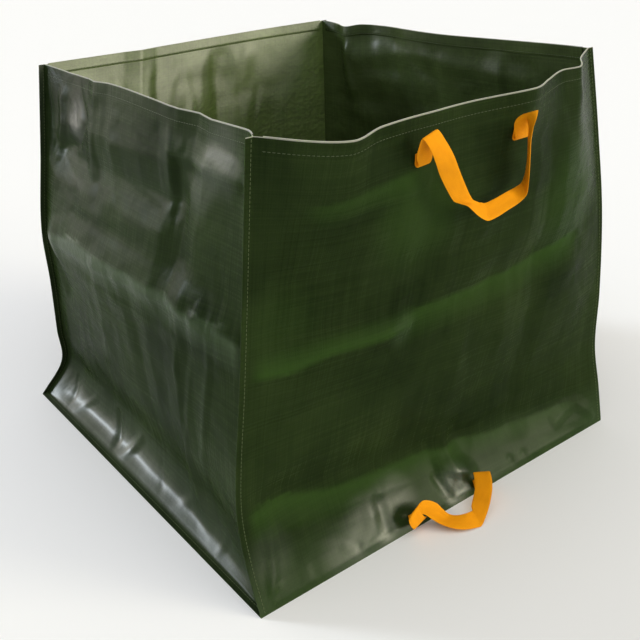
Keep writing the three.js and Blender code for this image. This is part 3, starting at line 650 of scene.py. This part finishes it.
def whiteningPaintedLightSheenMarks(wall, along, share, bright):  # rim, lit, paleness outside and inside, sheen
    marks = np.zeros(bright.shape + (5,))
    # rim line, part whitening of the fold, part painted highlight
    marks[..., 0] = np.where(share > sheetLook["rimFrom"], sheetLook["rimMark"], 0)
    foot = np.clip(sheetLook["footRise"] - share * bag["height"] / sheetLook["footBand"], 0, 1)
    # painted light: lit fold flanks, and a lighter foot, which faces up to the light
    marks[..., 1] = np.maximum(bright * wall["flankLit"], foot * wall["footLit"])
    # pale: painted glow of light through the sheet on the inside faces
    marks[..., 3] = wall["pale"]
    marks[..., 4] = wall["film"] + wall["sheen"] * foot + wall["flankSheen"] * bright
    # litSpots are painted light patches; shiny spots raise the coat's sheen
    for column, spots in ((1, wall["litSpots"]), (4, wall["shiny"])):
        for u, v, reach, amount in spots:
            away = np.hypot((along - u) * bag["width"], (share - v) * bag["height"])
            marks[..., column] += amount * smoothStep(1 - away / reach, 0, sheetLook["spotEdge"])
    return marks


def turnedHem(cloth, wall, points, share, rimIndex, along, width, offset):
    hem = hemRows(wall, points, share)[:, inHem]
    up = bag["height"] * mm + np.arange(len(hem))[:, None] * clothStart["hemStep"]
    places = clothPlaces(hem.shape, along[None, inHem], width, offset + clothStart["hem"], up)
    marks = np.zeros(hem.shape[:-1] + (5,))
    # rim line on the hem's turn, part whitening, part painted highlight
    marks[:4, :, 0] = sheetLook["rimMark"]
    # the turned-in hem faces the inside, so it gets the same painted glow
    marks[..., 2] = wall["pale"]
    return np.concatenate([rimIndex[None, inHem], cloth.add(hem, places, marks)])


def layStitches(kind, cloth, index):
    stitchPaths[kind].append((cloth.outer[index], cloth.normal[index]))


def bodySheet():
    cloth = Cloth()
    along = columnsOf(grid["bodyColumns"])
    fins = np.array([-bag["finWidth"], -bag["finStitch"]])
    toRight = np.array([1, 0, 0])

    def withFins(wall, points, bright, share, base=0.0, scale=1.0):
        left = points[:, :1] + fins[None, :, None] * toRight
        right = points[:, -1:] - fins[None, ::-1, None] * toRight
        full = np.concatenate([left, points, right], 1)
        u = np.concatenate([fins / bag["width"], along, 1 - fins[::-1] / bag["width"]])[None, :]
        up = base + scale * share[:, None] * bag["height"] * mm
        places = clothPlaces(full.shape, u, bag["width"], 0, up)
        return full, places, whiteningPaintedLightSheenMarks(wall, u, share[:, None], np.pad(bright, ((0, 0), (2, 2))))

    index, hems, levels = {}, {}, {}
    for side, base, scale in (("front", 0.0, 1.0), ("rear", clothStart["rear"], -1.0)):
        wall = walls[side]
        levels[side] = share = levelsOf(side)
        points, bright = wallPoints(wall, along[None, :], share[:, None])
        index[side] = cloth.add(*withFins(wall, points, bright, share, base, scale))
        hems[side] = turnedHem(cloth, wall, points, share, index[side][-1, 2:-2], along, bag["width"], 0)
    depth = columnsOf(grid["baseRows"])[1:-1]
    front, rear = (wallPoints(walls[side], along, 0.0)[0] for side in ("front", "rear"))
    base = front[None] + (rear - front)[None] * depth[:, None, None]
    flat = withFins(walls["right"], base, np.zeros(base.shape[:2]), -depth * bag["depth"] / bag["height"])
    index["base"] = cloth.add(*flat)
    cloth.patch(np.concatenate([index["front"][::-1], index["base"], index["rear"]]), True)
    cloth.patch(hems["front"])
    cloth.patch(hems["rear"], True)
    piece = cloth.solid("bodySheetCloth", sheetMaterial)
    for side in ("front", "rear"):
        for column in (1, -2):
            layStitches("seam", cloth, index[side][:, column])
        layStitches("hem", cloth, index[side][stitchRow(levels[side]), 4:-4])
        layStitches("hem", cloth, hems[side][-2, 3:-3])
    return piece


def sidePanel(side, title):
    cloth = Cloth()
    wall = walls[side]
    along, share = columnsOf(grid[side + "Columns"]), levelsOf(side)
    points, bright = wallPoints(wall, along[None, :], share[:, None], sewnPoints)
    up = share[:, None] * bag["height"] * mm
    places = clothPlaces(points.shape, along[None, :], bag["depth"], clothStart[side], up)
    index = cloth.add(points, places, whiteningPaintedLightSheenMarks(wall, along[None, :], share[:, None], bright))
    around = lambda rows: np.concatenate([rows[::-1, 0], rows[0, 1:-1], rows[:, -1]])  # the three sewn edges
    out = np.asarray(wall["out"], float)
    fin = np.stack([around(points) + out * reach for reach in (bag["finStitch"], bag["finWidth"])])
    finPlaces = np.stack([around(places), around(places) + bag["finWidth"] * mm])
    finIndex = np.concatenate([around(index)[None], cloth.add(fin, finPlaces, (0, 0, 0, 0, wall["sheen"]))])
    hemIndex = turnedHem(cloth, wall, points, share, index[-1], along, bag["depth"], clothStart[side])
    facesOut = out[0] > 0
    cloth.patch(index, not facesOut)
    cloth.patch(hemIndex, not facesOut)
    cloth.patch(finIndex, facesOut)
    piece = cloth.solid(title, sheetMaterial)
    layStitches("seam", cloth, finIndex[1])
    layStitches("hem", cloth, index[stitchRow(share), inHem])
    layStitches("hem", cloth, hemIndex[-2, 1:-1])
    return piece


bodyPiece = bodySheet()
print("body sheet", len(bodyPiece.data.polygons))
leftPiece = sidePanel("left", "leftPanelCloth")
rightPiece = sidePanel("right", "rightPanelCloth")
print("side panels", len(leftPiece.data.polygons), len(rightPiece.data.polygons))

web = {
    "width": 25, "thickness": 1.6, "tab": 15, "lift": .7, "fold": 2.2,  # tab is the sewn end
    "steps": 10, "across": 13, "edgeFrom": .88, "edgeThin": .7,  # mesh, and how its edges thin out
    "carrySpacing": 162, "carryShift": -4, "carryDrop": 58,
    "tipSpacing": 128, "tipShift": -12, "tipHeight": 6,
}
# free run of each handle: along (-1 left sewn end, 1 right), out from the wall, up from the sewn line,
# then the way across the webbing
frontCarryRun = [
    ((-1.06, 12, 12), (1, 0, 0)), ((-1.138, 20, 28), (.98, -.15, 0)), ((-1.165, 27, 41), (.96, -.08, .25)),
    ((-1.055, 33, 28), (.98, -.03, .2)), ((-.933, 35, 11), (.96, .2, .15)), ((-.755, 33, -10), (.93, .33, .12)),
    ((-.573, 31, -31), (.95, .26, .1)), ((-.414, 28, -48), (.98, .12, .08)), ((-.33, 27, -53), (.99, -.09, -.05)),
    ((-.206, 26, -58), (.94, -.32, -.06)), ((-.105, 26, -64), (.87, -.47, .13)), ((-.045, 27, -67.6), (.76, -.56, .35)),
    ((.04, 28, -72), (.42, -.67, .62)), ((.099, 28, -73.5), (.4, -.66, .64)), ((.272, 28, -72), (.4, -.62, .68)),
    ((.543, 27, -68), (.43, -.63, .64)), ((.804, 26, -64.5), (.47, -.7, .53)), ((.943, 25, -59.5), (.5, -.8, .29)),
    ((.977, 24, -52), (.56, -.8, 0)), ((.975, 24, -38), (.62, -.73, -.3)), ((.932, 25, -15), (.68, -.68, -.28)),
    ((.878, 26, 5), (.67, -.69, -.26)), ((.845, 27, 21), (.6, -.74, -.27)), ((.83, 28, 32), (.4, -.87, -.3)),
    ((.845, 24.5, 39), (.1, -.92, -.37)), ((.86, 17, 32), (-.4, -.82, -.3)), ((.93, 10, 17), (-.9, -.4, -.1)),
]
rearCarryRun = [
    ((-1.025, 8, 10), (1, 0, 0)), ((-1.049, 15, 28), (1, 0, 0)), ((-1.037, 24, 36), (1, 0, .1)),
    ((-.963, 28, 22), (.9, .2, .3)), ((-.815, 30, -8), (.8, .4, .4)), ((-.543, 36, -48), (.6, .3, .7)),
    ((-.198, 40, -76), (.2, .1, 1)), ((.173, 40, -78), (-.2, .1, 1)), ((.531, 36, -50), (-.6, .3, .7)),
    ((.815, 30, -8), (-.8, .4, .4)), ((.963, 28, 22), (-.9, .2, .3)), ((1.037, 24, 36), (-1, 0, .1)),
    ((1.049, 15, 28), (-1, 0, 0)), ((1.025, 8, 10), (-1, 0, 0)),
]
tippingRun = [
    ((-1.02, 13, 7), (.97, -.06, .2)), ((-1.14, 21, 12), (.93, -.12, .34)), ((-1.25, 27, 22), (.92, -.17, .36)),
    ((-1.26, 30, 31), (.91, -.15, .38)), ((-1.146, 30, 34.5), (.91, -.12, .4)), ((-.972, 28, 31), (.91, -.14, .4)),
    ((-.763, 27, 23), (.95, -.1, .28)), ((-.66, 29, 14.5), (.95, -.22, .15)), ((-.566, 34, 8.5), (.93, -.37, .05)),
    ((-.408, 42, 5.2), (.77, -.61, .16)), ((-.178, 48, 3.4), (.58, -.72, .37)), ((.02, 50, 1.8), (.36, -.8, .47)),
    ((.09, 51, 1.6), (.14, -.86, .5)), ((.207, 49.5, 7), (-.24, -.88, .36)), ((.398, 46, 16.5), (-.5, -.86, .05)),
    ((.569, 42, 30), (-.68, -.72, -.12)), ((.74, 37.5, 37.5), (-.74, -.66, -.08)), ((.84, 32, 38), (-.8, -.6, -.05)),
    ((.9, 25, 31), (-.88, -.46, -.05)), ((.96, 14, 12), (-1, -.1, 0)),
]


def wallAt(wall, x, share):  # point of a wall above a place along X
    start, end = (seamPoints(wall[key], share)[..., 0] for key in ("start", "end"))
    return wallPoints(wall, (x - start) / (end - start), share)[0]


def unit(rows):
    return rows / np.linalg.norm(rows, axis=-1, keepdims=True)


def sewnEnd(wall, x, share):  # flat on the wall above the sewn line, then turned out tightly
    half = -wall["out"][1] * web["width"] / 2
    tabShare = web["tab"] / bag["height"]
    line = wallAt(wall, x, share)
    rise = unit(wallAt(wall, x, share + tabShare) - line)
    across = unit(wallAt(wall, x + half, share) - wallAt(wall, x - half, share))
    out = unit(np.cross(across, rise))
    a, b = np.meshgrid(np.linspace(-1, 1, 9), np.linspace(0, 1, 7))
    under = (wallAt(wall, x + half * a, share + b * tabShare) - line) @ out
    rest = under.max() + bag["fabric"] / 2 + web["lift"] + web["thickness"] / 2
    fold = web["fold"]
    steps = [(web["tab"], 0), ((web["tab"] + fold) / 2, 0), (fold, 0), (0, fold), (fold, 2 * fold)]
    return line, [(line + rise * up + out * (rest + depth), across) for up, depth in steps]


def curveThrough(points, t):  # curve through points with knots spaced by the root of their distance
    points = np.asarray(points, float)
    padded = np.concatenate([[2 * points[0] - points[1]], points, [2 * points[-1] - points[-2]]])
    place = t * (len(points) - 1)
    k = np.minimum(place.astype(int), len(points) - 2)
    w = (place - k)[:, None]
    p0, p1, p2, p3 = (padded[k + n] for n in range(4))
    gap = lambda a, b: np.maximum(np.sqrt(np.linalg.norm(b - a, axis=1)), 1e-2)[:, None]
    d0, d1, d2 = gap(p0, p1), gap(p1, p2), gap(p2, p3)
    leave = ((p1 - p0) / d0 - (p2 - p0) / (d0 + d1) + (p2 - p1) / d1) * d1
    arrive = ((p2 - p1) / d1 - (p3 - p1) / (d1 + d2) + (p3 - p2) / d2) * d1
    bend = 3 * (p2 - p1) - 2 * leave - arrive
    return p1 + w * (leave + w * (bend + w * (2 * (p1 - p2) + leave + arrive)))


def lengthAlong(path):
    return np.concatenate([[0], np.cumsum(np.linalg.norm(np.diff(path, axis=0), axis=1))])


def tubeFaces(index):  # faces between rings of points
    wrapped = np.concatenate([index, index[:, :1]], 1)
    a, b, c, d = wrapped[:-1, :-1], wrapped[1:, :-1], wrapped[1:, 1:], wrapped[:-1, 1:]
    return np.stack([a, b, c, d], -1).reshape(-1, 4)


def handle(side, spacing, shift, share, run, title, squared=0.0):  # squared 1 sets across square to the run
    wall = walls[side]
    turn = -wall["out"][1]
    leftLine, left = sewnEnd(wall, turn * (shift - spacing / 2), share)
    rightLine, right = sewnEnd(wall, turn * (shift + spacing / 2), share)
    middle = (leftLine + rightLine) / 2
    free = []
    for (along, out, rise), across in run:
        x, z = middle[0] + turn * along * spacing / 2, middle[2] + rise
        y = wallAt(wall, x, share + rise / bag["height"])[1] + wall["out"][1] * out
        free.append(([x, y, z], [turn * across[0], wall["out"][1] * across[1], across[2]]))
    stations = left + free + [(at, -across) for at, across in reversed(right)]
    t = np.linspace(0, 1, (len(stations) - 1) * web["steps"] + 1)
    at = curveThrough([row[0] for row in stations], t)
    across = curveThrough([row[1] for row in stations], t)
    tangent = unit(np.gradient(at, axis=0))
    across = unit(across - squared * (across * tangent).sum(1)[:, None] * tangent)
    thick = unit(np.cross(tangent, across))
    count = web["across"]
    spread = np.concatenate([np.linspace(-1, 1, count), np.linspace(1, -1, count)])
    face = np.repeat([1, -1], count)
    edge = np.clip((abs(spread) - web["edgeFrom"]) / (1 - web["edgeFrom"]), 0, 1)
    rise = face * (1 - web["edgeThin"] * edge ** 2) * web["thickness"] / 2
    sideways = across[:, None] * (spread * web["width"] / 2)[None, :, None]
    ring = at[:, None] + sideways + thick[:, None] * rise[None, :, None]
    length = lengthAlong(at)
    places = np.zeros(ring.shape)
    places[..., 0] = spread * web["width"] / 2 * mm
    places[..., 1] = length[:, None] * mm
    places[..., 2] = face
    index = np.arange(ring.shape[0] * ring.shape[1]).reshape(ring.shape[:2])

    def cap(row):
        top, under = row[:count], row[count:]
        return np.stack([top[:-1], top[1:], under[:-1][::-1], under[1:][::-1]], -1)

    faces = np.concatenate([tubeFaces(index), cap(index[0]), cap(index[-1])[:, ::-1]]).tolist()
    piece = makeMesh(title, ring.reshape(-1, 3), faces, webMaterial, places.reshape(-1, 3), sharp=60)
    piece["stripLength"] = float(length[-1])
    return piece


carryShare = 1 - web["carryDrop"] / bag["height"]
tipShare = web["tipHeight"] / bag["height"]
carryAt = (web["carrySpacing"], web["carryShift"], carryShare)
tipAt = (web["tipSpacing"], web["tipShift"], tipShare)
frontHandle = handle("front", *carryAt, frontCarryRun, "frontCarryWebbing")
rearHandle = handle("rear", *carryAt, rearCarryRun, "rearCarryWebbing", 1.0)
tipHandle = handle("front", *tipAt, tippingRun, "tippingWebbing")
print("handles", [round(piece["stripLength"]) for piece in (frontHandle, rearHandle, tipHandle)])

stitch = {
    "length": 3.6, "gap": 1.6, "radius": .38, "sides": 6, "flatness": .8, "lift": .5,
    "rings": [(-.5, .25), (-.42, .8), (0, 1), (.42, .8), (.5, .25)],  # share of the length, share of the radius
}


def stitchRows(paths, title, finish):  # single stitches laid along each path
    turn = np.linspace(0, 2 * math.pi, stitch["sides"], endpoint=False)
    ends, girth = np.array(stitch["rings"], float).T
    along0, girth = (ends * stitch["length"])[:, None], girth[:, None]
    sideways = (girth * np.cos(turn) * stitch["radius"])[..., None]
    upward = (girth * (np.sin(turn) * stitch["flatness"] + stitch["lift"]) * stitch["radius"])[..., None]
    index = np.arange(girth.size * turn.size).reshape(girth.size, -1)
    shell = tubeFaces(index)
    points, faces, places = [], [], []
    for path, normal in paths:
        length = lengthAlong(path)
        pitch = stitch["length"] + stitch["gap"]
        centres = np.arange(pitch, length[-1] - pitch / 2, pitch)
        read = lambda rows, at: np.stack([np.interp(at, length, rows[:, k]) for k in range(3)], 1)
        at = read(path, centres)
        along = unit(read(path, centres + 1) - read(path, centres - 1))
        side = unit(np.cross(along, read(normal, centres)))
        up = np.cross(side, along)
        for n in range(len(centres)):
            first = len(points) * index.size
            ring = at[n] + along[n] * along0[..., None] + side[n] * sideways + up[n] * upward
            place = np.broadcast_arrays(along0 * mm + centres[n] * mm, np.sin(turn) * mm, np.cos(turn) * mm)
            points.append(ring.reshape(-1, 3))
            places.append(np.stack(place, -1).reshape(-1, 3))
            faces += (shell + first).tolist() + [(index[0] + first).tolist(), (index[-1, ::-1] + first).tolist()]
    return makeMesh(title, np.concatenate(points), faces, finish, np.concatenate(places))


seamPiece = stitchRows(stitchPaths["seam"], "seamStitches", seamThread)
hemPiece = stitchRows(stitchPaths["hem"], "hemStitches", hemThread)
print("stitches", len(seamPiece.data.polygons), len(hemPiece.data.polygons))

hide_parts("body_sheet")
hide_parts("left_side_panel")
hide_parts("right_side_panel")
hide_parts("front_carry_handle")
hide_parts("rear_carry_handle")
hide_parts("tipping_handle")
for piece in (frontHandle, rearHandle, tipHandle):
    piece["stripLength"] * mm

light = {
    "lamps": {  # to: the way from the bag to the lamp; angle: its width in degrees
        "warm": {"to": (.47, -.87, .10), "strength": 1.3, "angle": 40, "colour": (1, .94, .74)},
        "fill": {"to": (.66, -.68, .30), "strength": 1.2, "angle": 24, "colour": (1, .94, .72)},
        "cool": {"to": (-.52, .77, .30), "strength": 1.5, "angle": 10, "colour": (.82, .91, 1)},
        "low": {"to": (-.40, .90, .15), "strength": 1.3, "angle": 40, "colour": (1, .91, .82)},
        "over": {"to": (-.15, -.20, .97), "strength": 1.1, "angle": 70, "colour": (1, 1, 1)},
    },
    "world": .42,
    "floor": (.88, .88, .88, 1), "floorRoughness": .9, "floorSpecular": .1, "floorReach": 14,
}
for name, made in light["lamps"].items():
    lamp = bpy.data.lights.new(name + "Lamp", "SUN")
    lamp.energy = made["strength"]
    lamp.angle = math.radians(made["angle"])
    lamp.color = made["colour"]
    holder = bpy.data.objects.new(name + "Lamp", lamp)
    holder.rotation_euler = Vector(made["to"]).to_track_quat("Z", "Y").to_euler()
    bpy.context.scene.collection.objects.link(holder)
world = bpy.data.worlds.new("studio")
bpy.context.scene.world = world
world.use_nodes = True
background = world.node_tree.nodes["Background"]
background.inputs["Color"].default_value = (1, 1, 1, 1)
background.inputs["Strength"].default_value = light["world"]

floorMesh = bpy.data.meshes.new("floor")
reach = light["floorReach"]
floorCorners = [(-reach, -reach, 0), (reach, -reach, 0), (reach, reach, 0), (-reach, reach, 0)]
floorMesh.from_pydata(floorCorners, [], [(0, 1, 2, 3)])
floorMesh.materials.append(Finish("paleFloor").look(
    Base_Color=light["floor"], Roughness=light["floorRoughness"], Specular_IOR_Level=light["floorSpecular"]))
floor = bpy.data.objects.new("floor", floorMesh)
bpy.context.scene.collection.objects.link(floor)

view = {
    "azimuth": -36.917, "elevation": 26.889, "roll": -1.699, "distance": 1.4523, "targetHeight": .17103,
    "lens": 48.84, "sensor": 36, "shiftX": .0191,
}
az, el, roll = (math.radians(view[key]) for key in ("azimuth", "elevation", "roll"))
back = Vector((math.sin(az) * math.cos(el), -math.cos(az) * math.cos(el), math.sin(el)))
right = (-back).cross(Vector((0, 0, 1))).normalized()
up = right.cross(-back)
rightRolled = right * math.cos(roll) + up * math.sin(roll)
upRolled = up * math.cos(roll) - right * math.sin(roll)
cameraData = bpy.data.cameras.new("camera")
cameraData.lens = view["lens"]
cameraData.sensor_width = view["sensor"]
cameraData.shift_x = view["shiftX"]
camera = bpy.data.objects.new("camera", cameraData)
camera.matrix_world = Matrix((rightRolled, upRolled, back)).transposed().to_4x4()
camera.location = Vector((0, 0, view["targetHeight"])) + back * view["distance"]
bpy.context.scene.collection.objects.link(camera)
bpy.context.scene.camera = camera
bpy.context.scene.view_settings.view_transform = "Standard"
print("stage set")
